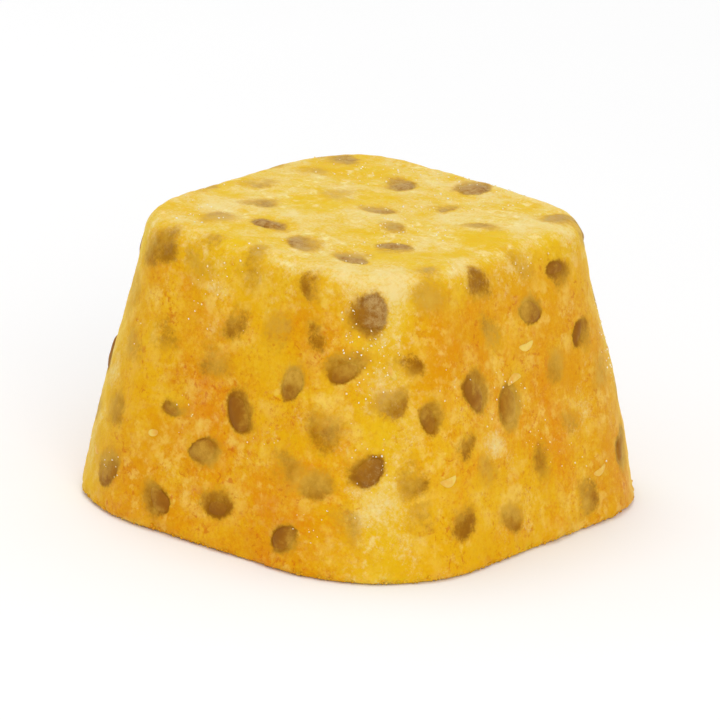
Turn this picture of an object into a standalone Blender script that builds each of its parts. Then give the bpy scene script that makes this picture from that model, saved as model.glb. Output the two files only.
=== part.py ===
"""A frozen passion fruit puree cube, with the fruit's seeds lying in its surface.

The puree froze in a tray with leaning walls, so the cube is a square block that narrows towards the top. Its
upright corners are rounded, and more so at the base. It stands on its wide face. Metres, +Z up, and the
origin is the middle of the base.
"""

import math
import random
from typing import NamedTuple

import bmesh
import bpy
import numpy as np
from mathutils import Matrix, Vector, noise

# The block, measured across its flat sides
BASE_SIDE = 0.052
TOP_SIDE = 0.73 * BASE_SIDE
HEIGHT = 0.032
SIDE_BULGE = 0.0004  # how far freezing swells the middle of a side
TOP_BULGE = 0.0002

# Its rounded edges. The upright corners differ: south-west, north-west, south-east, north-east
CORNER_RADII_BELOW = (0.0162, 0.0144, 0.0150, 0.0140)
CORNER_RADII_ABOVE = (0.0086, 0.0098, 0.0102, 0.0092)
TOP_EDGE_RADIUS = 0.0018
BASE_EDGE_RADIUS = 0.0010

# Its unevenness: how far each kind of lump stands out, and how many to a metre
BROAD_LUMP, BROAD_PER_METRE = 0.0003, 70
SMALL_LUMP, SMALL_PER_METRE = 0.0002, 190
RIM_LUMP, RIM_PER_METRE = 0.0006, 230
RIM_HEIGHT = 0.0040  # above this the base's ragged rim has faded out
FOOT_HEIGHT = 0.0012  # below this every lump fades out, so that the base is flat

# The seeds: flat and egg-shaped
SEED_COUNT = 96
SEED_SPACING = 0.0057
SEED_LENGTHS = (0.0037, 0.0055)
SEED_WIDTH_SHARE = (0.62, 0.76)
SEED_THICKNESS = 0.0020
SEED_POINT = 0.22  # how much narrower one end is than the other
SEED_FULLNESS = 0.4  # how flat its faces are: 0 is as round as a ball, 1 a slab
SEED_RISES = (-0.0004, 0.00036)  # a seed's crown, from sunk in the puree to standing out of it
LEAST_RISE = 0.00008  # a seed that stands out less than this is under the surface
MOST_TILT = math.radians(50)  # of a seed about its long axis, out of the surface
LOWEST_SEED, HIGHEST_SEED = 0.0035, 0.0305
SEED_DRAW = 2684

# How finely it is made
BLOCK_CELLS = 24  # squares along each edge of the block
EDGE_CROWDING = 1.15  # radians; larger crowds the squares towards the edges
SEED_SEGMENTS, SEED_RINGS = 10, 6
SEATING_SEGMENTS, SEATING_RINGS = 16, 10  # of the points that tell how far a seed stands out
PAST_SURFACE = 1.2  # of the way from the block's middle to its sharp surface, surely outside
BISECTIONS = 26
SLOPE_STEP = 1e-5

PUREE_COLOUR = (0.78, 0.40, 0.035, 1)
SEED_COLOUR = (0.25, 0.12, 0.025, 1)
PUREE_ROUGHNESS, SEED_ROUGHNESS = 0.5, 0.4

MIDDLE = np.array([0, 0, HEIGHT / 2])
LEAN = (BASE_SIDE - TOP_SIDE) / 2 / HEIGHT  # how far a side comes in for each metre up


class Seed(NamedTuple):
    place: Vector  # on the surface, above the seed's middle
    outward: Vector
    spin: float
    tilt: float
    length: float
    width: float
    rise: float


def half_side(height):
    return BASE_SIDE / 2 - LEAN * height


def rounded(first, second, radius):
    """The clearance from two faces together, given that from each, with the edge between them rounded."""
    beyond = np.maximum(first + radius, 0), np.maximum(second + radius, 0)
    return np.minimum(np.maximum(first, second), -radius) + np.hypot(*beyond)


def clearance(points):
    """How far points lie outside the block's smooth form, and negative for points inside it."""
    x, y, z = points.T
    half = half_side(z)
    up_middle = 1 - ((z - HEIGHT / 2) / (HEIGHT / 2)) ** 2
    x_middle, y_middle = (np.clip(1 - (across / half) ** 2, 0, 1) for across in (x, y))
    square_on = 1 / math.hypot(1, LEAN)
    x_side = (np.abs(x) - half - SIDE_BULGE * up_middle * y_middle) * square_on
    y_side = (np.abs(y) - half - SIDE_BULGE * up_middle * x_middle) * square_on
    top = z - HEIGHT - TOP_BULGE * (x_middle * y_middle - 1)
    which = 2 * (x > 0) + (y > 0)
    below, above = np.array(CORNER_RADII_BELOW)[which], np.array(CORNER_RADII_ABOVE)[which]
    corner = below + (above - below) * z / HEIGHT
    sides = rounded(x_side, y_side, corner)
    return rounded(rounded(sides, top, TOP_EDGE_RADIUS), -z, BASE_EDGE_RADIUS)


def on_form(points):
    """The points where lines from the block's middle through these points leave its smooth form."""
    ways = points - MIDDLE
    inside, outside = np.zeros(len(points)), np.full(len(points), PAST_SURFACE)
    for _ in range(BISECTIONS):
        between = (inside + outside) / 2
        beyond = clearance(MIDDLE + ways * between[:, None]) > 0
        inside, outside = np.where(beyond, inside, between), np.where(beyond, between, outside)
    return MIDDLE + ways * inside[:, None]


def outward_at(points):
    """The form's unit normals at these points."""
    steps = np.eye(3) * SLOPE_STEP
    slopes = np.stack([clearance(points + step) - clearance(points - step) for step in steps], axis=1)
    return slopes / np.linalg.norm(slopes, axis=1)[:, None]


def lump(point):
    """How far the uneven surface stands out of the smooth form at a point of it."""
    broad = BROAD_LUMP * noise.noise(point * BROAD_PER_METRE)
    small = SMALL_LUMP * noise.noise(point * SMALL_PER_METRE)
    near_rim = max(0, 1 - point.z / RIM_HEIGHT)
    rim = RIM_LUMP * near_rim * noise.noise(point * RIM_PER_METRE)
    return (broad + small + rim) * min(1, max(0, point.z / FOOT_HEIGHT))


def on_surface(points):
    """Where the uneven surface lies in or out from these points of the sharp block, and its normals there."""
    form = on_form(points)
    outward = outward_at(form)
    lumps = np.array([lump(Vector(point)) for point in form])
    return form + outward * lumps[:, None], outward


def thrown_point(draw):
    """A random point on a side or the top of the sharp block."""
    side_area = (BASE_SIDE + TOP_SIDE) / 2 * HEIGHT
    across, along = draw.uniform(-1, 1), draw.uniform(-1, 1)
    if draw.uniform(0, 4 * side_area + TOP_SIDE**2) < TOP_SIDE**2:
        return Vector((across * TOP_SIDE / 2, along * TOP_SIDE / 2, HEIGHT))
    height = LOWEST_SEED + (HIGHEST_SEED - LOWEST_SEED) * (along + 1) / 2
    half = half_side(height)
    quarter_turns = Matrix.Rotation(math.radians(90) * draw.randrange(4), 3, "Z")
    return quarter_turns @ Vector((half, across * half, height))


def ball_points(segments, rings):
    """Points spread over a unit ball."""
    ways_round = np.linspace(0, math.tau, segments, endpoint=False)
    around, down = (angles.ravel() for angles in np.meshgrid(ways_round, np.linspace(0, math.pi, rings + 1)))
    return np.stack((np.sin(down) * np.cos(around), np.sin(down) * np.sin(around), np.cos(down)), axis=1)


def seed_points(seed, unit_ball):
    """A ball's points moved onto a seed: flattened along Z and drawn out along X, with a narrower end."""
    x, y, z = unit_ball.T
    fuller = np.maximum(np.hypot(x, y), SLOPE_STEP) ** -SEED_FULLNESS
    narrowed = 1 - SEED_POINT * x * fuller
    return np.stack(
        (x * fuller * seed.length / 2, y * fuller * narrowed * seed.width / 2, z * SEED_THICKNESS / 2), axis=1
    )


def placed(points, matrix):
    """Points moved by a matrix."""
    turn, shift = np.array(matrix.to_3x3()), np.array(matrix.translation)
    return points @ turn.T + shift


def seed_frame(seed):
    """Where a seed lies: its long axis X, its flat face towards +Z, its middle under its place."""
    along = seed.outward.orthogonal().normalized()
    turned = Matrix.Rotation(seed.spin, 3, seed.outward) @ along
    flat = Matrix((turned, seed.outward.cross(turned), seed.outward)).transposed()
    tilted = flat @ Matrix.Rotation(seed.tilt, 3, "X")
    crown = math.hypot(SEED_THICKNESS / 2 * math.cos(seed.tilt), seed.width / 2 * math.sin(seed.tilt))
    middle = seed.place + seed.outward * (seed.rise - crown)
    return Matrix.Translation(middle) @ tilted.to_4x4()


def seated(seed):
    """The seed moved in, where the block curves, so that no part of it stands out further than its rise."""
    points = placed(seed_points(seed, ball_points(SEATING_SEGMENTS, SEATING_RINGS)), seed_frame(seed))
    furthest = clearance(points).max() - lump(seed.place)
    return seed._replace(place=seed.place - seed.outward * max(0, furthest - seed.rise))


def spread_seeds():
    """Seeds thrown at the block at random, each kept if it is clear of those before it."""
    draw = random.Random(SEED_DRAW)
    seeds = []
    while len(seeds) < SEED_COUNT:
        places, outwards = on_surface(np.array([thrown_point(draw)]))
        place, outward = Vector(places[0]), Vector(outwards[0])
        if any((place - seed.place).length < SEED_SPACING for seed in seeds):
            continue
        length = draw.uniform(*SEED_LENGTHS)
        width = length * draw.uniform(*SEED_WIDTH_SHARE)
        spin, tilt = draw.uniform(0, math.tau), draw.triangular(-MOST_TILT, MOST_TILT)
        seeds.append(seated(Seed(place, outward, spin, tilt, length, width, draw.uniform(*SEED_RISES))))
    return seeds


def crowded(share):
    """Moves a place from -1 to 1 along an edge so that even steps crowd towards its ends."""
    return math.sin(share * EDGE_CROWDING) / math.sin(EDGE_CROWDING)


def finished(name, mesh, materials):
    """An object made of this bmesh, in the scene."""
    data = bpy.data.meshes.new(name)
    mesh.to_mesh(data)
    mesh.free()
    data.shade_smooth()
    for material in materials:
        data.materials.append(material)
    made = bpy.data.objects.new(name, data)
    bpy.context.scene.collection.objects.link(made)
    return made


def make_block(materials):
    """The block of puree: a cube cut into squares, leant in, rounded and made uneven, flat underneath."""
    mesh = bmesh.new()
    bmesh.ops.create_cube(mesh, size=2)
    bmesh.ops.subdivide_edges(mesh, edges=mesh.edges, cuts=BLOCK_CELLS - 1, use_grid_fill=True)
    for vertex in mesh.verts:
        across, along, up = map(crowded, vertex.co)
        height = HEIGHT * (up + 1) / 2
        vertex.co = (across * half_side(height), along * half_side(height), height)
    places, _ = on_surface(np.array([vertex.co for vertex in mesh.verts]))
    for vertex, (x, y, z) in zip(mesh.verts, places):
        vertex.co = (x, y, z if z > SLOPE_STEP else 0)
    return finished("puree_cube", mesh, materials)


def make_seed(number, seed, materials):
    """One seed, as an object where it lies."""
    mesh = bmesh.new()
    bmesh.ops.create_uvsphere(mesh, u_segments=SEED_SEGMENTS, v_segments=SEED_RINGS, radius=1)
    points = seed_points(seed, np.array([vertex.co for vertex in mesh.verts]))
    for vertex, point in zip(mesh.verts, points):
        vertex.co = point
    for face in mesh.faces:
        face.material_index = 1
    made = finished(f"seed_{number}", mesh, materials)
    made.matrix_world = seed_frame(seed)
    return made


def fuse(block, seeds):
    """Joins the seeds to the block as one solid, and removes the separate seeds."""
    gathered = bpy.data.collections.new("seeds")
    for seed in seeds:
        gathered.objects.link(seed)
    union = block.modifiers.new("fused seeds", "BOOLEAN")
    union.operation = "UNION"
    union.operand_type = "COLLECTION"
    union.collection = gathered
    union.solver = "EXACT"
    bpy.context.view_layer.update()
    whole = bpy.data.meshes.new_from_object(block.evaluated_get(bpy.context.evaluated_depsgraph_get()))
    block.modifiers.clear()
    block.data = whole
    for seed in seeds:
        bpy.data.objects.remove(seed)
    bpy.data.collections.remove(gathered)


def plain_material(name, colour, roughness):
    material = bpy.data.materials.new(name)
    material.use_nodes = True
    shader = material.node_tree.nodes["Principled BSDF"]
    shader.inputs["Base Color"].default_value = colour
    shader.inputs["Roughness"].default_value = roughness
    shader.inputs["Metallic"].default_value = 0
    return material


def main():
    for old in list(bpy.data.objects):
        bpy.data.objects.remove(old)
    materials = [
        plain_material("frozen puree", PUREE_COLOUR, PUREE_ROUGHNESS),
        plain_material("seed", SEED_COLOUR, SEED_ROUGHNESS),
    ]
    block = make_block(materials)
    showing = [seed for seed in spread_seeds() if seed.rise > LEAST_RISE]
    fuse(block, [make_seed(number, seed, materials) for number, seed in enumerate(showing)])


main()
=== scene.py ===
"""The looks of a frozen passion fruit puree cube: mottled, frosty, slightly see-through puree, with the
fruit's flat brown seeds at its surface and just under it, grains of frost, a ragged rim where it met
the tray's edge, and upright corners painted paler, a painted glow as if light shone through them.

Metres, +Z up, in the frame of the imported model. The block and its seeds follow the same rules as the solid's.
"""

import math
import random
from typing import NamedTuple

import bmesh
import bpy
import numpy as np
from mathutils import Matrix, Vector, noise
from mathutils.bvhtree import BVHTree


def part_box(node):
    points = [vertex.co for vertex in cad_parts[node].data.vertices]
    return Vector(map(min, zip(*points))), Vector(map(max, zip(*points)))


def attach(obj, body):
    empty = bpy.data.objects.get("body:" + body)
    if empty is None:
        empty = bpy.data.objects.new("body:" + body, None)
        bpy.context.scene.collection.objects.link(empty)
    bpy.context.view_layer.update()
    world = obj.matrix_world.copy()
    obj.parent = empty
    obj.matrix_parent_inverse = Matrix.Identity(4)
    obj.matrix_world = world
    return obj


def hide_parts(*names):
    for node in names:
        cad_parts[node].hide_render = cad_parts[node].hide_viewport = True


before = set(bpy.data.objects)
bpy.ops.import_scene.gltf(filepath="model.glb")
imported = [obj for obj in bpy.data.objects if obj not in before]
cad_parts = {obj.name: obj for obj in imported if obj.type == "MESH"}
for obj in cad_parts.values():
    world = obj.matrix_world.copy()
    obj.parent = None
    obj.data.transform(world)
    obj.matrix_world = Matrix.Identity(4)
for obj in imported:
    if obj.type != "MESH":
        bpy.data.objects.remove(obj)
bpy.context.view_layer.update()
box_low, box_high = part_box("puree_cube")

MM = 0.001

# The block. Its seeds stand out of it by less than half a millimetre, so the box, rounded to a
# millimetre, gives its size
BASE_SIDE = round(min(box_high.x - box_low.x, box_high.y - box_low.y), 3)
HEIGHT = round(box_high.z - box_low.z, 3)
TOP_SIDE = 0.73 * BASE_SIDE
SIDE_BULGE = 0.4 * MM  # how far freezing swells the middle of a side
TOP_BULGE = 0.2 * MM

# Its rounded edges. The upright corners differ: south-west, north-west, south-east, north-east
CORNER_RADII_BELOW = (16.2 * MM, 14.4 * MM, 15.0 * MM, 14.0 * MM)
CORNER_RADII_ABOVE = (8.6 * MM, 9.8 * MM, 10.2 * MM, 9.2 * MM)
TOP_EDGE_RADIUS = 1.8 * MM
BASE_EDGE_RADIUS = 1.0 * MM

# Its unevenness: how far each kind of lump stands out, and how many to a metre
BROAD_LUMP, BROAD_PER_METRE = 0.3 * MM, 70
SMALL_LUMP, SMALL_PER_METRE = 0.2 * MM, 190
RIM_LUMP, RIM_PER_METRE = 0.6 * MM, 230
RIM_HEIGHT = 4.0 * MM  # above this the base's ragged rim has faded out
FOOT_HEIGHT = 1.2 * MM  # below this every lump fades out, so that the base is flat

# How the surface is found
MIDDLE = np.array([0, 0, HEIGHT / 2])
LEAN = (BASE_SIDE - TOP_SIDE) / 2 / HEIGHT  # how far a side comes in for each metre up
PAST_SURFACE = 1.2  # of the way from the block's middle to its sharp surface, surely outside
BISECTIONS = 26
SLOPE_STEP = 0.01 * MM

# The fine relief, which only the looks have, and the squares that the block is cut into
GRAIN_LUMP, GRAIN_PER_METRE = 0.08 * MM, 900
CRUMB_LUMP, CRUMB_PER_METRE = 0.35 * MM, 1100  # along the rim
CRUMB_HEIGHT = 1.8 * MM  # above this the crumbly rim has faded out
CELLS_ROUND, CELLS_UP = 144, 92  # along each level edge, and up each side
EDGE_CROWDING = 0.8  # radians; larger crowds the squares towards the edges
WELD_DISTANCE = 1e-5  # of points on the cube from -1 to 1

# The seeds: flat and egg-shaped
SEED_COUNT = 96
SEED_SPACING = 5.7 * MM
SEED_LENGTHS = (3.7 * MM, 5.5 * MM)
SEED_WIDTH_SHARE = (0.62, 0.76)
SEED_THICKNESS = 2.0 * MM
SEED_POINT = 0.22  # how much narrower one end is than the other
SEED_FULLNESS = 0.4  # how flat its faces are: 0 is as round as a ball, 1 a slab
SEED_RISES = (-0.4 * MM, 0.36 * MM)  # its crown, from sunk in the puree to standing out of it
LEAST_RISE = 0.08 * MM  # a seed that stands out less than this is under the surface
MOST_TILT = math.radians(50)  # of a seed about its long axis, out of the surface
LOWEST_SEED, HIGHEST_SEED = 3.5 * MM, 30.5 * MM
SEED_DRAW = 2684
SEATING_SEGMENTS, SEATING_RINGS = 16, 10  # of the points that tell how far a seed stands out
SEED_SEGMENTS, SEED_RINGS = 44, 36  # of the seeds that are seen
HIDDEN_SEGMENTS, HIDDEN_RINGS = 20, 14  # of the seeds that tell the puree how far away they are
SINKING = 0.8  # times as deep as the draw says, for a seed below the surface
SUNK_TILT = 0.35  # of the tilt that the draw says
SEED_PITS, SEED_PITS_PER_METRE = 0.03 * MM, 1400  # how deep, and how many to a metre
UNDERSIDE_SEEDS = 24
UNDERSIDE_MARGIN = 5 * MM
UNDERSIDE_DRAW = 77
DEEP_SEEDS = 26
DEEP_SPACING = 4.6 * MM
DEEP_DRAW = 15
MOST_SKEW = math.radians(60)  # of the way that a seed dips into the puree, from straight across it
FAR_FROM_SEED = 3.0 * MM  # how far round it a seed can tint the puree
CLEAR_OF_SEEDS = 1.1 * MM  # how far crumbs and pulp stay from a seed

# Where frost lies, and the painted glow that makes the upright corners paler: the ranges over which they set
# in, and how thick they are there, from none at 0 to 1
FACING_UP, SQUARELY_UP = (0.5, 0.95), (0.9, 1.0)  # of the upward part of the normal
# The upright corners are painted paler, a painted glow as if light shone through the block where it is thin
CORNER_GLOW = (0.03, 0.28)  # how much the level way out differs from a side's
AT_TOP_EDGE, UPPER_PART = (0.80, 1.0), (0.60, 0.98)  # of the height
FROST_FACING_UP, FROST_SQUARELY_UP = 0.45, 0.55
# How thick frost lies at the top edge, and how strong the painted glow of the upright corners is, more so
# higher up
FROST_AND_GLOW_BESIDE, GLOW_UPPER_CORNERS = 0.65, 0.3
SHORTEST_LEVEL = 1e-6  # so that a normal straight up, which has no level part, isn't divided by 0

# Grains of frost, mostly on top and in clusters
FROST_THROWS = 5200  # places thrown, of which the grains get the likeliest
FROST_GRAINS = 850
GRAIN_SIZES = (0.04 * MM, 0.15 * MM)  # radii, before the stretch
GRAIN_STRETCH = (0.6, 1.4)
GRAIN_SEGMENTS, GRAIN_RINGS = 4, 2  # an octahedron
CLUSTERS_PER_METRE = 140
CLUSTERED = (0.1, 0.5)  # the range of the clusters' noise over which grains set in
LEAST_LIKING = 0.25  # for a grain where no frost lies
LIKING_OVER_LUCK = 3  # how much more the liking counts than the draw
FROST_DRAW = 31

# Crumbs of puree along the rim
RIM_CRUMBS = 460
CRUMB_SIZES = (0.10 * MM, 0.24 * MM)  # radii
CRUMB_RISE = 0.5 * MM  # how far up the rim they reach
CRUMB_SEGMENTS, CRUMB_RINGS = 8, 6
CRUMB_BUMPS, BUMPS_PER_RADIUS = 0.5, 1.7
CRUMBS_APART = 4000  # in the bumps' noise, for a metre between crumbs, so that no two are alike
CRUMB_FLATNESS = (0.6, 1.0)
CRUMB_SINKING = 0.35  # of its radius
CRUMB_DRAW = 52

# Strips of pulp at the surface
PULP_STRIPS = 46
STRIP_LENGTHS = (1.6 * MM, 3.4 * MM)
STRIP_WIDTHS = (0.7 * MM, 1.2 * MM)
STRIP_THICKNESS = 0.3 * MM
STRIP_RISE = 0.07 * MM
STRIP_MARGIN = 4 * MM  # from the top and the base
STRIP_BEND = 0.5  # of its width, at most
STRIP_SEGMENTS, STRIP_RINGS = 20, 12
STRIP_DRAW = 64

# The camera: the angle that the cube is seen from, and how much of the picture it fills
VIEW_AZIMUTH, VIEW_ELEVATION = math.radians(38.6), math.radians(18.6)
VIEW_ROLL = math.radians(2.3)
VIEW_DISTANCE = 0.93
AIM_HEIGHT = 0.47 * HEIGHT
SENSOR_WIDTH, LENS = 36, 428  # in millimetres, as Blender counts them

# The studio
FLOOR_RADIUS, FLOOR_CORNERS = 3, 96
WORLD_STRENGTH = 0.72

# How far red, green and blue light spread in puree, as shares of the subsurface scale
LIGHT_SPREAD = (1.0, 0.45, 0.12)


class Seed(NamedTuple):
    place: Vector  # on the surface, above the seed's middle
    outward: Vector
    spin: float  # of its long axis, about the way outward
    tilt: float  # about its long axis
    length: float
    width: float
    rise: float  # of its crown, out of the surface


# ---------------------------------------------------------------- the block's form


def half_side(height):
    return BASE_SIDE / 2 - LEAN * height


def rounded(first, second, radius):
    """The clearance from two faces together, given that from each, with the edge between them rounded."""
    beyond = np.maximum(first + radius, 0), np.maximum(second + radius, 0)
    return np.minimum(np.maximum(first, second), -radius) + np.hypot(*beyond)


def clearance(points):
    """How far points lie outside the block's smooth form, and negative for points inside it."""
    x, y, z = points.T
    half = half_side(z)
    up_middle = 1 - ((z - HEIGHT / 2) / (HEIGHT / 2)) ** 2
    x_middle, y_middle = (np.clip(1 - (across / half) ** 2, 0, 1) for across in (x, y))
    square_on = 1 / math.hypot(1, LEAN)
    x_side = (np.abs(x) - half - SIDE_BULGE * up_middle * y_middle) * square_on
    y_side = (np.abs(y) - half - SIDE_BULGE * up_middle * x_middle) * square_on
    top = z - HEIGHT - TOP_BULGE * (x_middle * y_middle - 1)
    which = 2 * (x > 0) + (y > 0)
    below, above = np.array(CORNER_RADII_BELOW)[which], np.array(CORNER_RADII_ABOVE)[which]
    corner = below + (above - below) * z / HEIGHT
    sides = rounded(x_side, y_side, corner)
    return rounded(rounded(sides, top, TOP_EDGE_RADIUS), -z, BASE_EDGE_RADIUS)


def on_form(points, start=MIDDLE):
    """Where lines from the block's middle, or another start, through these points leave its form."""
    ways = points - start
    inside, outside = np.zeros(len(points)), np.full(len(points), PAST_SURFACE)
    for _ in range(BISECTIONS):
        between = (inside + outside) / 2
        beyond = clearance(start + ways * between[:, None]) > 0
        inside, outside = np.where(beyond, inside, between), np.where(beyond, between, outside)
    return start + ways * inside[:, None]


def outward_at(points):
    """The form's unit normals at these points."""
    steps = np.eye(3) * SLOPE_STEP
    slopes = np.stack([clearance(points + step) - clearance(points - step) for step in steps], axis=1)
    return slopes / np.linalg.norm(slopes, axis=1)[:, None]


def lump(point):
    """How far the uneven surface stands out of the smooth form at a point of it."""
    broad = BROAD_LUMP * noise.noise(point * BROAD_PER_METRE)
    small = SMALL_LUMP * noise.noise(point * SMALL_PER_METRE)
    near_rim = max(0, 1 - point.z / RIM_HEIGHT)
    rim = RIM_LUMP * near_rim * noise.noise(point * RIM_PER_METRE)
    return (broad + small + rim) * min(1, max(0, point.z / FOOT_HEIGHT))


def on_surface(points, start=MIDDLE):
    """Where lines through these points leave the uneven surface, and the form's normals there."""
    form = on_form(points, start)
    outward = outward_at(form)
    lumps = np.array([lump(Vector(point)) for point in form])
    return form + outward * lumps[:, None], outward


# ---------------------------------------------------------------- the seeds' places and shape


def thrown_point(draw):
    """A random point on a side or the top of the sharp block."""
    side_area = (BASE_SIDE + TOP_SIDE) / 2 * HEIGHT
    across, along = draw.uniform(-1, 1), draw.uniform(-1, 1)
    if draw.uniform(0, 4 * side_area + TOP_SIDE**2) < TOP_SIDE**2:
        return Vector((across * TOP_SIDE / 2, along * TOP_SIDE / 2, HEIGHT))
    return point_beside(across, along, draw)


def random_side(draw):
    """A turn about Z that takes the block's east side to one of its four sides."""
    return Matrix.Rotation(math.radians(90) * draw.randrange(4), 3, "Z")


def point_beside(across, along, draw):
    """A point on one of the sides, picked at random, at these shares of it across and up, from -1 to 1."""
    height = LOWEST_SEED + (HIGHEST_SEED - LOWEST_SEED) * (along + 1) / 2
    half = half_side(height)
    return random_side(draw) @ Vector((half, across * half, height))


def thrown_point_beside(draw):
    """A random point on a side of the sharp block."""
    return point_beside(draw.uniform(-1, 1), draw.uniform(-1, 1), draw)


def thrown_point_below(draw):
    """A random point on the block's underside."""
    reach = BASE_SIDE / 2 - UNDERSIDE_MARGIN
    return Vector((draw.uniform(-1, 1) * reach, draw.uniform(-1, 1) * reach, 0))


def ball_points(segments, rings):
    """Points spread over a unit ball."""
    ways_round = np.linspace(0, math.tau, segments, endpoint=False)
    around, down = (angles.ravel() for angles in np.meshgrid(ways_round, np.linspace(0, math.pi, rings + 1)))
    return np.stack((np.sin(down) * np.cos(around), np.sin(down) * np.sin(around), np.cos(down)), axis=1)


def seed_points(seed, unit_ball):
    """A ball's points moved onto a seed: flattened along Z and drawn out along X, with a narrower end."""
    x, y, z = unit_ball.T
    fuller = np.maximum(np.hypot(x, y), SLOPE_STEP) ** -SEED_FULLNESS
    narrowed = 1 - SEED_POINT * x * fuller
    return np.stack(
        (x * fuller * seed.length / 2, y * fuller * narrowed * seed.width / 2, z * SEED_THICKNESS / 2), axis=1
    )


def placed(points, matrix):
    """Points moved by a matrix."""
    turn, shift = np.array(matrix.to_3x3()), np.array(matrix.translation)
    return points @ turn.T + shift


def seed_frame(seed):
    """Where a seed lies: its long axis X, its flat face towards +Z, its middle under its place."""
    along = seed.outward.orthogonal().normalized()
    turned = Matrix.Rotation(seed.spin, 3, seed.outward) @ along
    flat = Matrix((turned, seed.outward.cross(turned), seed.outward)).transposed()
    tilted = flat @ Matrix.Rotation(seed.tilt, 3, "X")
    crown = math.hypot(SEED_THICKNESS / 2 * math.cos(seed.tilt), seed.width / 2 * math.sin(seed.tilt))
    middle = seed.place + seed.outward * (seed.rise - crown)
    return Matrix.Translation(middle) @ tilted.to_4x4()


def seated(seed):
    """The seed moved in, where the block curves, so that no part of it stands out further than its rise."""
    points = placed(seed_points(seed, ball_points(SEATING_SEGMENTS, SEATING_RINGS)), seed_frame(seed))
    furthest = clearance(points).max() - lump(seed.place)
    return seed._replace(place=seed.place - seed.outward * max(0, furthest - seed.rise))


def spread_seeds(throw, count, draw_number, others=(), spacing=SEED_SPACING):
    """Seeds thrown at the block at random, each kept if it is clear of the others and of those before it."""
    draw = random.Random(draw_number)
    seeds = []
    while len(seeds) < count:
        places, outwards = on_surface(np.array([throw(draw)]))
        place, outward = Vector(places[0]), Vector(outwards[0])
        if any((place - seed.place).length < spacing for seed in [*others, *seeds]):
            continue
        length = draw.uniform(*SEED_LENGTHS)
        width = length * draw.uniform(*SEED_WIDTH_SHARE)
        spin, tilt = draw.uniform(0, math.tau), draw.triangular(-MOST_TILT, MOST_TILT)
        seeds.append(seated(Seed(place, outward, spin, tilt, length, width, draw.uniform(*SEED_RISES))))
    return seeds


def dip_of(seed, draw):
    """The way along a seed's face, in its own frame, in which puree closes over it: about where it tilts."""
    skew = draw.uniform(-MOST_SKEW, MOST_SKEW)
    return math.sin(skew), -math.copysign(math.cos(skew), seed.tilt)


def sides(points, seed, dip):
    """How far points lie towards the side of the seed that dips: about 1 at that rim and -1 at the other."""
    local = placed(points, seed_frame(seed).inverted())
    return local[:, 0] / (seed.length / 2) * dip[0] + local[:, 1] / (seed.width / 2) * dip[1]


def sunk(seed):
    """A seed below the surface, which lies flatter and deeper in the puree."""
    return seed._replace(rise=-abs(seed.rise) * SINKING, tilt=seed.tilt * SUNK_TILT)


# ---------------------------------------------------------------- making pieces


def taken_from(mesh):
    """The vertices of a bmesh, as an array, and its faces. The bmesh is freed."""
    mesh.verts.index_update()
    vertices = np.array([vertex.co for vertex in mesh.verts])
    faces = [[vertex.index for vertex in face.verts] for face in mesh.faces]
    mesh.free()
    return vertices, faces


def ball(segments, rings):
    """A unit ball: its vertices and faces."""
    mesh = bmesh.new()
    bmesh.ops.create_uvsphere(mesh, u_segments=segments, v_segments=rings, radius=1)
    return taken_from(mesh)


def merged(parts):
    """The points and faces of many small closed meshes, as those of one mesh."""
    vertices, faces, start = [], [], 0
    for points, its_faces in parts:
        vertices.append(points)
        faces += [[start + corner for corner in face] for face in its_faces]
        start += len(points)
    return np.concatenate(vertices), faces


def piece(name, vertices, faces, material, slot):
    """A smooth-shaded piece of the cube, which moves with its one body."""
    data = bpy.data.meshes.new(name)
    data.from_pydata(vertices.tolist(), [], faces)
    data.shade_smooth()
    data.materials.append(material)
    made = bpy.data.objects.new(name, data)
    bpy.context.scene.collection.objects.link(made)
    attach(made, "root")
    return made


def joined(name, parts, material, slot):
    """One piece made of many small closed meshes, each given as its points and faces."""
    return piece(name, *merged(parts), material, slot)


def set_attribute(made, name, values):
    """Writes a number for each vertex, which the material reads by name."""
    attribute = made.data.attributes.new(name, "FLOAT", "POINT")
    attribute.data.foreach_set("value", np.asarray(values, dtype=np.float32))


def smooth_step(low, high, values):
    """0 for values up to low, 1 from high on, and a smooth climb between them."""
    share = np.clip((values - low) / (high - low), 0, 1)
    return share * share * (3 - 2 * share)


def cube_of_squares():
    """A cube from -1 to 1 whose faces are cut into many squares: its vertices and faces."""
    mesh = bmesh.new()
    facing_front = Matrix.Translation((0, -1, 0)) @ Matrix.Rotation(math.radians(90), 4, "X")
    for quarter in range(4):
        turned = Matrix.Rotation(math.radians(90) * quarter, 4, "Z") @ facing_front
        bmesh.ops.create_grid(mesh, x_segments=CELLS_ROUND, y_segments=CELLS_UP, size=1, matrix=turned)
    for half_turns in (0, 1):
        facing = Matrix.Rotation(math.radians(180) * half_turns, 4, "X") @ Matrix.Translation((0, 0, 1))
        bmesh.ops.create_grid(mesh, x_segments=CELLS_ROUND, y_segments=CELLS_ROUND, size=1, matrix=facing)
    bmesh.ops.remove_doubles(mesh, verts=mesh.verts, dist=WELD_DISTANCE)
    return taken_from(mesh)


def fine_relief(point):
    """The grainy skin, and the crumbly rim at the tray's edge, on top of the block's own lumps."""
    grain = GRAIN_LUMP * noise.noise(point * GRAIN_PER_METRE)
    near_rim = max(0, 1 - point.z / CRUMB_HEIGHT)
    crumbs = CRUMB_LUMP * near_rim * noise.noise(point * CRUMB_PER_METRE)
    return grain + crumbs


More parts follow.
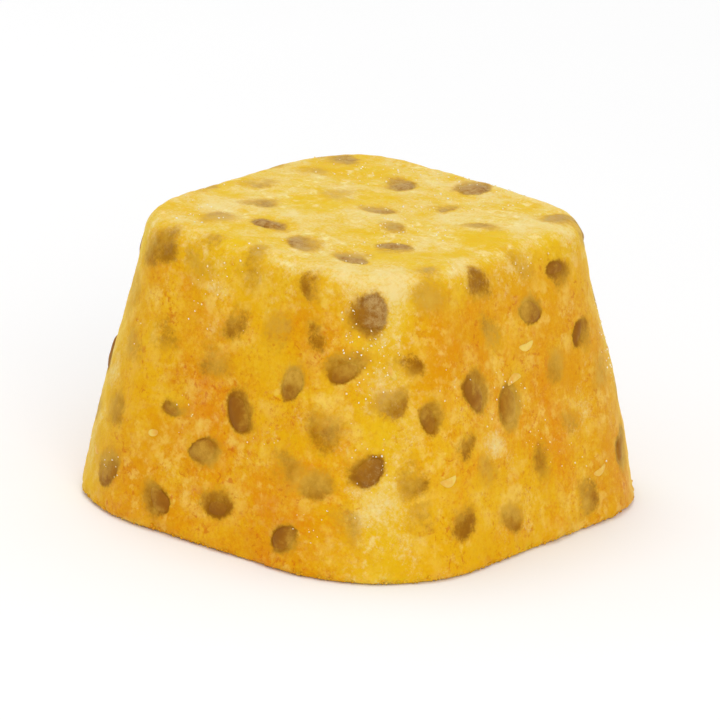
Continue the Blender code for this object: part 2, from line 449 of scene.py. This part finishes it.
def frost_and_edge_glow(form, outward):
    """How much frost lies at points of the block, most on top and some at the top edge and the corners, and the
    painted glow that makes the upright corners paler.
    """
    height, upward = form[:, 2] / HEIGHT, outward[:, 2]
    level_size = np.maximum(np.linalg.norm(outward[:, :2], axis=1), SHORTEST_LEVEL)
    level = outward[:, :2] / level_size[:, None]
    # Painted glow: the upright corners made paler, as if light shone through the thin block there
    corner_glow = smooth_step(*CORNER_GLOW, 1 - np.abs(level).max(axis=1))
    thicker = FROST_AND_GLOW_BESIDE + GLOW_UPPER_CORNERS * smooth_step(*UPPER_PART, height)
    beside = FROST_AND_GLOW_BESIDE * smooth_step(*AT_TOP_EDGE, height) + corner_glow * thicker
    thickest = FROST_FACING_UP + FROST_SQUARELY_UP * smooth_step(*SQUARELY_UP, upward)
    return np.minimum(beside + smooth_step(*FACING_UP, upward) * thickest, 1)


def make_puree(seeds, dips, tones, seed_tree, faces_per_seed, material):
    """The block of puree, with what its material needs to know at each vertex."""
    vertices, faces = cube_of_squares()
    share = np.sin(vertices * EDGE_CROWDING) / math.sin(EDGE_CROWDING)
    height = HEIGHT * (share[:, 2] + 1) / 2
    half = half_side(height)
    form = on_form(np.stack((share[:, 0] * half, share[:, 1] * half, height), axis=1))
    outward = outward_at(form)
    relief = np.array([lump(Vector(point)) + fine_relief(Vector(point)) for point in form])
    # At the base the relief moves the surface sideways only, so that the underside stays flat
    upward = np.outer(smooth_step(0, FOOT_HEIGHT, form[:, 2]), (0, 0, 1))
    ways = outward * np.array((1, 1, 0)) + outward * upward
    surface = form + ways * relief[:, None]
    made = piece("puree", surface, faces, material, "frozen_puree")
    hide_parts("puree_cube")

    nearest = [seed_tree.find_nearest(Vector(point), FAR_FROM_SEED) for point in surface]
    away, its_seed = np.full(len(surface), FAR_FROM_SEED), np.full(len(surface), -1)
    for number, (place, facing, face, distance) in enumerate(nearest):
        if place is not None:
            inside = (Vector(surface[number]) - place).dot(facing) < 0
            away[number] = -distance if inside else distance
            its_seed[number] = face // faces_per_seed
    side, tone, depth = (np.zeros(len(surface)) for _ in range(3))
    for which, seed in enumerate(seeds):
        near = its_seed == which
        side[near] = sides(surface[near], seed, dips[which])
        tone[near] = tones[which]
        depth[near] = max(0, -seed.rise)
    # The materials count in millimetres
    set_attribute(made, "seed_away", away / MM)
    set_attribute(made, "seed_side", side)
    set_attribute(made, "seed_depth", depth / MM)
    set_attribute(made, "seed_tone", tone)
    # Frost, and the painted glow that makes the upright corners paler
    set_attribute(made, "frost_and_edge_glow", frost_and_edge_glow(form, outward))


def make_seeds(seeds, dips, tones, material):
    """The seeds that stand out of the surface, in one piece, finely pitted."""
    unit_ball, faces = ball(SEED_SEGMENTS, SEED_RINGS)
    parts, side, tone = [], [], []
    for seed, dip, its_tone in zip(seeds, dips, tones):
        points = seed_points(seed, unit_ball)
        pits = np.array([SEED_PITS * noise.noise(Vector(point) * SEED_PITS_PER_METRE) for point in points])
        points = placed(points * (1 + pits[:, None] / (SEED_THICKNESS / 2)), seed_frame(seed))
        parts.append((points, faces))
        side.append(sides(points, seed, dip))
        tone.append(np.full(len(points), its_tone))
    made = joined("seeds", parts, material, "seed")
    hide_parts("puree_cube")
    set_attribute(made, "seed_side", np.concatenate(side))
    set_attribute(made, "seed_tone", np.concatenate(tone))

    points = np.concatenate([points for points, _ in parts])
    set_attribute(made, "seed_depth", np.zeros(len(points)))
    form = on_form(points)
    lumps = np.array([lump(Vector(point)) for point in form])
    set_attribute(made, "risen", (clearance(points) - lumps) / MM)
    # Frost, and the painted glow that makes the upright corners paler
    set_attribute(made, "frost_and_edge_glow", frost_and_edge_glow(form, outward_at(form)))


def random_turn(draw):
    """A turn to a random way round, as a 3 by 3 array."""
    axis = Vector((draw.gauss(0, 1), draw.gauss(0, 1), draw.gauss(0, 1))).normalized()
    return np.array(Matrix.Rotation(draw.uniform(0, math.tau), 3, axis))


def make_frost_grains(material):
    """Grains of ice, each a small rough octahedron, set in the surface where frost gathers."""
    draw = random.Random(FROST_DRAW)
    places, outward = on_surface(np.array([thrown_point(draw) for _ in range(FROST_THROWS)]))
    # Grains gather where frost lies, and at the upright corners of the painted glow
    liking = LEAST_LIKING + frost_and_edge_glow(places, outward)
    clusters = [noise.noise(Vector(place) * CLUSTERS_PER_METRE) for place in places]
    chance = liking * smooth_step(*CLUSTERED, np.array(clusters))
    ranks = [draw.random() - LIKING_OVER_LUCK * its_chance for its_chance in chance]
    chosen = sorted(range(FROST_THROWS), key=lambda number: ranks[number])[:FROST_GRAINS]
    corners, faces = ball(GRAIN_SEGMENTS, GRAIN_RINGS)
    parts = []
    for number in chosen:
        stretch = [draw.uniform(*GRAIN_STRETCH) for _ in range(3)]
        grain = corners * stretch @ random_turn(draw) * draw.uniform(*GRAIN_SIZES)
        parts.append((places[number] + grain, faces))
    joined("frost_grains", parts, material, "ice")


def clear_of_seeds(place, seed_tree):
    """Whether no seed lies near this place."""
    return seed_tree.find_nearest(Vector(place), CLEAR_OF_SEEDS)[0] is None


def make_rim_crumbs(seed_tree, material):
    """Rough little lumps of puree along the rim, where the block met the tray's edge."""
    draw = random.Random(CRUMB_DRAW)
    unit_ball, faces = ball(CRUMB_SEGMENTS, CRUMB_RINGS)
    sizes = [draw.uniform(*CRUMB_SIZES) for _ in range(RIM_CRUMBS)]
    throws = []
    for size in sizes:
        height = size + CRUMB_RISE * draw.random() ** 2
        half = half_side(height)
        throws.append(random_side(draw) @ Vector((half, draw.uniform(-1, 1) * half, height)))
    throws = np.array(throws)
    # Level lines from the upright axis, so that a crumb keeps its height at the rounded corners too
    places, outward = on_surface(throws, throws * (0, 0, 1))
    parts = []
    for place, way, size in zip(places, outward, sizes):
        if not clear_of_seeds(place, seed_tree):
            continue
        its_noise = Vector(place) * CRUMBS_APART
        bumps = [noise.noise(Vector(point) * BUMPS_PER_RADIUS + its_noise) for point in unit_ball]
        bumpy = unit_ball * np.array([1 + CRUMB_BUMPS * bump for bump in bumps])[:, None]
        crumb = bumpy * (1, 1, draw.uniform(*CRUMB_FLATNESS)) @ random_turn(draw) * size
        middle = place - way * size * CRUMB_SINKING
        crumb[:, 2] = np.maximum(crumb[:, 2] + middle[2], 0) - middle[2]  # not below the floor
        parts.append((middle + crumb, faces))
    joined("rim_crumbs", parts, material, "frozen_puree")


def make_pulp_strips(seed_tree, material):
    """Flat strips of pulp that lie in the sides, pointed at their ends."""
    draw = random.Random(STRIP_DRAW)
    unit_ball, faces = ball(STRIP_SEGMENTS, STRIP_RINGS)
    places, outward = on_surface(np.array([thrown_point_beside(draw) for _ in range(PULP_STRIPS)]))
    parts = []
    for place, way in zip(places, outward):
        inside_margins = STRIP_MARGIN < place[2] < HEIGHT - STRIP_MARGIN
        if not inside_margins or not clear_of_seeds(place, seed_tree):
            continue
        # The frame is a seed's, which takes a seed's thickness, so the rise makes up for a strip's own
        strip = Seed(
            place=Vector(place),
            outward=Vector(way),
            spin=draw.uniform(0, math.tau),
            tilt=0,
            length=draw.uniform(*STRIP_LENGTHS),
            width=draw.uniform(*STRIP_WIDTHS),
            rise=STRIP_RISE + (SEED_THICKNESS - STRIP_THICKNESS) / 2,
        )
        points = unit_ball * (strip.length / 2, strip.width / 2, STRIP_THICKNESS / 2)
        bend = draw.uniform(-1, 1) * STRIP_BEND * strip.width
        points[:, 1] += bend * unit_ball[:, 0] ** 2
        parts.append((placed(points, seed_frame(strip)), faces))
    joined("pulp_strips", parts, material, "frozen_puree")


# ---------------------------------------------------------------- materials


def display(red, green, blue):
    """A colour as a screen shows it, from 0 to 255, as the shader's linear numbers."""
    parts = (value / 255 for value in (red, green, blue))
    return tuple(part / 12.92 if part < 0.04045 else ((part + 0.055) / 1.055) ** 2.4 for part in parts) + (1,)


class Material:
    """A material whose nodes are added one call at a time. Each call gives the socket to use next."""

    def __init__(self, name):
        self.made = bpy.data.materials.new(name)
        self.made.use_nodes = True
        self.tree = self.made.node_tree
        self.shader = self.tree.nodes["Principled BSDF"]
        self.coordinates = self.node("ShaderNodeTexCoord").outputs["Object"]

    def node(self, kind, **settings):
        """A new node of this kind, with these settings."""
        made = self.tree.nodes.new(kind)
        for name, value in settings.items():
            setattr(made, name, value)
        return made

    def feed(self, socket, value):
        """Links a socket to another, or sets it to a number or a colour."""
        if isinstance(value, bpy.types.NodeSocket):
            self.tree.links.new(value, socket)
        else:
            socket.default_value = value

    def attribute(self, name):
        """The number that set_attribute wrote under this name."""
        return self.node("ShaderNodeAttribute", attribute_name=name).outputs["Fac"]

    def noise(self, per_metre, detail=2.0, roughness=0.5, distortion=0.0, offset=0.0):
        """Noise from 0 to 1, mostly near 0.5. The offset picks a part of it unlike the other layers'."""
        moved = self.node("ShaderNodeMapping")
        self.feed(moved.inputs["Vector"], self.coordinates)
        moved.inputs["Location"].default_value = (offset, offset, offset)
        made = self.node("ShaderNodeTexNoise")
        self.feed(made.inputs["Vector"], moved.outputs["Vector"])
        for name, value in (
            ("Scale", per_metre),
            ("Detail", detail),
            ("Roughness", roughness),
            ("Distortion", distortion),
        ):
            self.feed(made.inputs[name], value)
        return made.outputs["Fac"]

    def math(self, operation, first, second=0.0, third=0.0):
        made = self.node("ShaderNodeMath", operation=operation)
        for socket, value in zip(made.inputs, (first, second, third)):
            self.feed(socket, value)
        return made.outputs["Value"]

    def step(self, value, low, high, to_low=0.0, to_high=1.0):
        """A smooth step from to_low, where value is low, to to_high, where it is high."""
        made = self.node("ShaderNodeMapRange", interpolation_type="SMOOTHSTEP")
        for name, setting in (
            ("Value", value),
            ("From Min", low),
            ("From Max", high),
            ("To Min", to_low),
            ("To Max", to_high),
        ):
            self.feed(made.inputs[name], setting)
        return made.outputs["Result"]

    def mix(self, share, first, second):
        """The first colour where share is 0, the second where it is 1."""
        made = self.node("ShaderNodeMix", data_type="RGBA")
        colours = [socket for socket in made.inputs if socket.type == "RGBA"]
        for socket, value in zip([made.inputs["Factor"]] + colours, (share, first, second)):
            self.feed(socket, value)
        return next(socket for socket in made.outputs if socket.type == "RGBA")

    def bump(self, height, distance, strength):
        """Normals bent as if the surface rose by the distance where height is 1."""
        made = self.node("ShaderNodeBump")
        for name, value in (("Height", height), ("Distance", distance), ("Strength", strength)):
            self.feed(made.inputs[name], value)
        return made.outputs["Normal"]

    def finish(self, **sockets):
        """Sets or links the shader's own sockets, named with _ for a space."""
        for name, value in sockets.items():
            self.feed(self.shader.inputs[name.replace("_", " ")], value)
        return self.made


EMBER = display(220, 133, 0)
AMBER = display(219, 150, 0)
GOLD = display(227, 172, 2)
STRAW = display(232, 188, 42)
CURD = display(239, 202, 94)
LEMON = display(227, 188, 24)
CREAM = display(233, 210, 142)
ICY = display(244, 230, 170)
PEACH = display(230, 168, 60)
RUST = display(198, 92, 6)
HONEY = display(204, 148, 26)
SEED_DARK = display(136, 80, 0)
SEED_BROWN = display(157, 100, 6)
SEED_TAN = display(185, 138, 40)
SEED_HAZE = display(210, 163, 60)
SEED_FROSTED = display(190, 156, 96)


def fractal(m, per_metre, offset, fine=0.5):
    """Clouds with finer and finer detail in them, and specks over them."""
    clouds = m.noise(per_metre, detail=9, roughness=0.7, distortion=0.2, offset=offset)
    specks = m.noise(2600, detail=3, roughness=0.85, offset=offset)
    return m.math("ADD", clouds, m.math("MULTIPLY_ADD", specks, fine, -fine / 2))


def seed_colour(m):
    """A seed's brown, darker towards one side, under a thin and uneven film of puree, and greyer in frost and
    in the painted glow of the upright corners.
    """
    tone, side = m.attribute("seed_tone"), m.attribute("seed_side")
    toned = m.math("MULTIPLY_ADD", tone, 0.26, m.math("MULTIPLY", side, 0.13))
    shade = m.math("ADD", toned, m.noise(480, detail=7, roughness=0.72, offset=4.1))
    colour = m.mix(m.step(shade, 0.46, 0.74), SEED_DARK, SEED_BROWN)
    deeper = m.math("MULTIPLY_ADD", m.attribute("seed_depth"), 0.45, toned)
    film = m.math("ADD", deeper, m.noise(420, detail=8, roughness=0.72, offset=5.3))
    colour = m.mix(m.step(film, 0.52, 0.80), colour, SEED_TAN)
    colour = m.mix(m.step(film, 0.70, 0.92, 0, 0.8), colour, SEED_HAZE)
    specks = m.noise(1300, detail=5, roughness=0.8, offset=13.1)
    # Greyer where frost lies, and in the painted glow of the upright corners
    rime_and_glow = m.math("MULTIPLY_ADD", m.attribute("frost_and_edge_glow"), 0.4, specks)
    return m.mix(m.step(rime_and_glow, 0.71, 1.07, 0, 0.9), colour, SEED_FROSTED)


def puree_colour(m):
    """Soft clouds of amber, gold, ember and straw, with fluffy pale curds, peach patches, rusty specks."""
    colour = m.mix(m.step(fractal(m, 62, 0.0, 0.25), 0.42, 0.58), AMBER, GOLD)
    colour = m.mix(m.step(fractal(m, 40, 11.3, 0.3), 0.49, 0.63, 0, 0.75), colour, EMBER)
    colour = m.mix(m.step(fractal(m, 150, 0.3), 0.40, 0.78, 0, 0.8), colour, STRAW)
    curds = m.step(m.noise(390, detail=6, roughness=0.62, offset=0.9), 0.48, 0.64, 0, 0.62)
    in_places = m.step(m.noise(95, detail=5, offset=1.3), 0.40, 0.62)
    colour = m.mix(m.math("MULTIPLY", curds, in_places), colour, CURD)
    colour = m.mix(m.step(fractal(m, 160, 1.1), 0.50, 0.82, 0, 0.7), colour, PEACH)
    flecks = m.step(m.noise(800, detail=4, roughness=0.6, offset=7.7), 0.49, 0.65, 0, 0.55)
    strewn = m.step(m.noise(170, detail=4, offset=8.3), 0.42, 0.62)
    colour = m.mix(m.math("MULTIPLY", flecks, strewn), colour, CURD)
    rusty = m.step(m.noise(1900, detail=4, roughness=0.85, offset=1.7), 0.46, 0.70, 0.0, 0.6)
    streaks = m.step(m.noise(210, detail=5, roughness=0.6, distortion=0.6, offset=2.3), 0.42, 0.66, 0.3, 1.0)
    colour = m.mix(m.math("MULTIPLY", rusty, streaks), colour, RUST)
    dots = m.step(m.noise(1500, detail=2, roughness=0.6, distortion=0.4, offset=9.1), 0.56, 0.68, 0, 0.6)
    dotted = m.step(m.noise(240, detail=4, offset=9.9), 0.48, 0.64)
    return m.mix(m.math("MULTIPLY", dots, dotted), colour, RUST)


def frost_and_glow_colour(m):
    """The puree under its frost, paler, and paler too in the painted glow of the upright corners, with creamy
    curds and icy dabs, and how thick the frost is.
    """
    frost_and_edge_glow = m.attribute("frost_and_edge_glow")
    # Lemon where frost lies, and at the upright corners as painted glow
    colour = m.mix(m.math("MULTIPLY", frost_and_edge_glow, 0.75), puree_colour(m), LEMON)
    patches = m.math("MULTIPLY_ADD", m.noise(115, detail=5, offset=12.7), 0.56, -0.28)
    frost = m.math("MULTIPLY_ADD", frost_and_edge_glow, 0.23, fractal(m, 230, 0.7))
    frost = m.math("ADD", frost, patches)
    colour = m.mix(m.step(frost, 0.60, 0.94, 0, 0.95), colour, CREAM)
    dabs = m.step(m.noise(900, detail=6, roughness=0.65, distortion=0.2, offset=6.1), 0.49, 0.68, 0, 0.75)
    drifts = m.step(m.noise(170, detail=5, roughness=0.6, offset=6.7), 0.44, 0.60)
    # More icy dabs where frost lies, and in the painted glow of the corners
    dabs = m.math("MULTIPLY", m.math("MULTIPLY", dabs, drifts), m.math("MULTIPLY_ADD", frost_and_edge_glow, 0.8, 0.1))
    return m.mix(dabs, colour, ICY), frost


def ragged(m):
    """Fine teeth, from -1 to 1, for the edges of the seeds."""
    return m.math("MULTIPLY_ADD", m.noise(1900, detail=4, roughness=0.75), 2, -1)


def seed_seen(m, thickness):
    """How much of a seed shows through puree this many millimetres thick.

    It fades softly on the side that dips, and ends crisply on the other.
    """
    teeth = ragged(m)
    thickness = m.math("MULTIPLY", thickness, m.math("MULTIPLY_ADD", teeth, 0.6, 1.0))
    away = m.math("MULTIPLY_ADD", teeth, 0.16, thickness)
    clear = m.step(m.noise(190, detail=4, offset=3.1), 0.38, 0.64, 0.75, 0.28)
    clear = m.math("MULTIPLY", clear, m.step(m.attribute("seed_side"), -0.6, 1.0, 0.6, 1.5))
    clear = m.math("MULTIPLY_ADD", m.attribute("seed_depth"), 0.8, clear)
    faded = m.math("POWER", m.math("DIVIDE", m.math("MAXIMUM", away, 0.0), clear), 1.5)
    return m.math("EXPONENT", m.math("MULTIPLY", faded, -1.0))


def with_seed(m, seen, colour):
    """The puree's colour with the seed under it, and the honey-brown halo round the seed."""
    seed = m.mix(m.step(seen, 0.3, 0.95), HONEY, seed_colour(m))
    shown = m.math("MULTIPLY_ADD", m.attribute("seed_depth"), -0.75, 0.94)
    return m.mix(m.math("MULTIPLY", m.step(seen, 0.06, 0.8), shown), colour, seed)


def puree_material():
    m = Material("frozen puree")
    colour, frost = frost_and_glow_colour(m)
    colour = with_seed(m, seed_seen(m, m.attribute("seed_away")), colour)
    return m.finish(
        Base_Color=colour,
        Roughness=m.step(frost, 0.45, 0.9, 0.48, 0.68),
        Normal=m.bump(m.noise(1300, detail=6, roughness=0.7), 0.12 * MM, 0.5),
        Specular_IOR_Level=0.06,
        Sheen_Weight=0.36,
        Sheen_Roughness=0.35,
        Sheen_Tint=display(255, 230, 120),
        Subsurface_Weight=0.3,
        Subsurface_Radius=LIGHT_SPREAD,
        Subsurface_Scale=1.2 * MM,
    )


def seed_material():
    m = Material("passion fruit seed")
    colour, _ = frost_and_glow_colour(m)
    film = m.math("MULTIPLY_ADD", m.attribute("seed_side"), 0.16, 0.04)
    seen = seed_seen(m, m.math("SUBTRACT", film, m.attribute("risen")))
    return m.finish(
        Base_Color=with_seed(m, seen, colour),
        Roughness=0.6,
        Normal=m.bump(m.noise(1700, detail=4, roughness=0.65), 0.08 * MM, 0.6),
        Specular_IOR_Level=0.15,
    )


def crumb_material():
    m = Material("crumbs of puree")
    return m.finish(
        Base_Color=puree_colour(m),
        Roughness=0.6,
        Normal=m.bump(m.noise(2400, detail=3), 0.05 * MM, 0.6),
        Specular_IOR_Level=0.15,
        Subsurface_Weight=0.3,
        Subsurface_Radius=LIGHT_SPREAD,
        Subsurface_Scale=0.6 * MM,
    )


def pulp_material():
    m = Material("strips of pulp")
    return m.finish(
        Base_Color=m.mix(m.step(m.noise(400, detail=6, roughness=0.65), 0.38, 0.62), CURD, PEACH),
        Roughness=0.5,
        Normal=m.bump(m.noise(1800, detail=3), 0.05 * MM, 0.6),
        Specular_IOR_Level=0.25,
        Subsurface_Weight=0.3,
        Subsurface_Radius=LIGHT_SPREAD,
        Subsurface_Scale=0.6 * MM,
    )


def ice_material():
    m = Material("grains of frost")
    tint = m.step(m.noise(900, detail=2), 0.4, 0.66)
    return m.finish(
        Base_Color=m.mix(tint, display(246, 222, 150), display(255, 252, 236)),
        Roughness=0.15,
        Specular_IOR_Level=0.8,
    )


def floor_material():
    m = Material("floor")
    tone = m.step(m.noise(6, detail=3), 0.3, 0.7)
    return m.finish(
        Base_Color=m.mix(tone, (0.94, 0.94, 0.94, 1), (0.96, 0.96, 0.96, 1)),
        Roughness=0.8,
        Specular_IOR_Level=0.1,
    )


# ---------------------------------------------------------------- the studio


def area_light(name, place, size, power):
    """A round light that shines at the middle of the cube."""
    data = bpy.data.lights.new(name, "AREA")
    data.shape = "DISK"
    data.size = size
    data.energy = power
    made = bpy.data.objects.new(name, data)
    made.location = place
    made.rotation_euler = (Vector(MIDDLE) - Vector(place)).to_track_quat("-Z", "Y").to_euler()
    bpy.context.scene.collection.objects.link(made)


def make_studio():
    bpy.ops.mesh.primitive_circle_add(vertices=FLOOR_CORNERS, radius=FLOOR_RADIUS, fill_type="NGON")
    floor = bpy.context.object
    floor.name = "floor"
    floor.data.materials.append(floor_material())
    world = bpy.data.worlds.new("studio")
    world.use_nodes = True
    background = world.node_tree.nodes["Background"]
    background.inputs["Color"].default_value = (1, 1, 1, 1)
    background.inputs["Strength"].default_value = WORLD_STRENGTH
    bpy.context.scene.world = world
    area_light("overhead", place=(-0.15, 0.05, 0.7), size=0.5, power=1.5)
    area_light("fill", place=(0.5, -0.4, 0.35), size=0.4, power=1.3)
    bpy.context.scene.view_settings.view_transform = "Standard"


def make_camera():
    data = bpy.data.cameras.new("camera")
    data.sensor_width = SENSOR_WIDTH
    data.lens = LENS
    made = bpy.data.objects.new("camera", data)
    level = math.cos(VIEW_ELEVATION)
    back = Vector(
        (math.sin(VIEW_AZIMUTH) * level, -math.cos(VIEW_AZIMUTH) * level, math.sin(VIEW_ELEVATION))
    )
    aim = Vector((0, 0, AIM_HEIGHT))
    made.location = aim + back * VIEW_DISTANCE
    turned = (-back).to_track_quat("-Z", "Y").to_matrix() @ Matrix.Rotation(VIEW_ROLL, 3, "Z")
    made.rotation_euler = turned.to_euler()
    bpy.context.scene.collection.objects.link(made)
    bpy.context.scene.camera = made


def main():
    make_studio()
    make_camera()
    thrown = spread_seeds(thrown_point, SEED_COUNT, SEED_DRAW)
    below = spread_seeds(thrown_point_below, UNDERSIDE_SEEDS, UNDERSIDE_DRAW)
    deep = spread_seeds(thrown_point_beside, DEEP_SEEDS, DEEP_DRAW, thrown, DEEP_SPACING)
    seeds = [seed if seed.rise > LEAST_RISE else sunk(seed) for seed in thrown]
    seeds += [sunk(seed) for seed in below + deep]
    draw = random.Random(SEED_DRAW)
    tones = [draw.random() for _ in seeds]
    dips = [dip_of(seed, draw) for seed in seeds]

    unit_ball, faces = ball(HIDDEN_SEGMENTS, HIDDEN_RINGS)
    shapes = [(placed(seed_points(seed, unit_ball), seed_frame(seed)), faces) for seed in seeds]
    points, all_faces = merged(shapes)
    seed_tree = BVHTree.FromPolygons(points.tolist(), all_faces)

    make_puree(seeds, dips, tones, seed_tree, len(faces), puree_material())
    showing = [known for known in zip(seeds, dips, tones) if known[0].rise > LEAST_RISE]
    make_seeds(*zip(*showing), seed_material())
    make_frost_grains(ice_material())
    make_rim_crumbs(seed_tree, crumb_material())
    make_pulp_strips(seed_tree, pulp_material())


main()
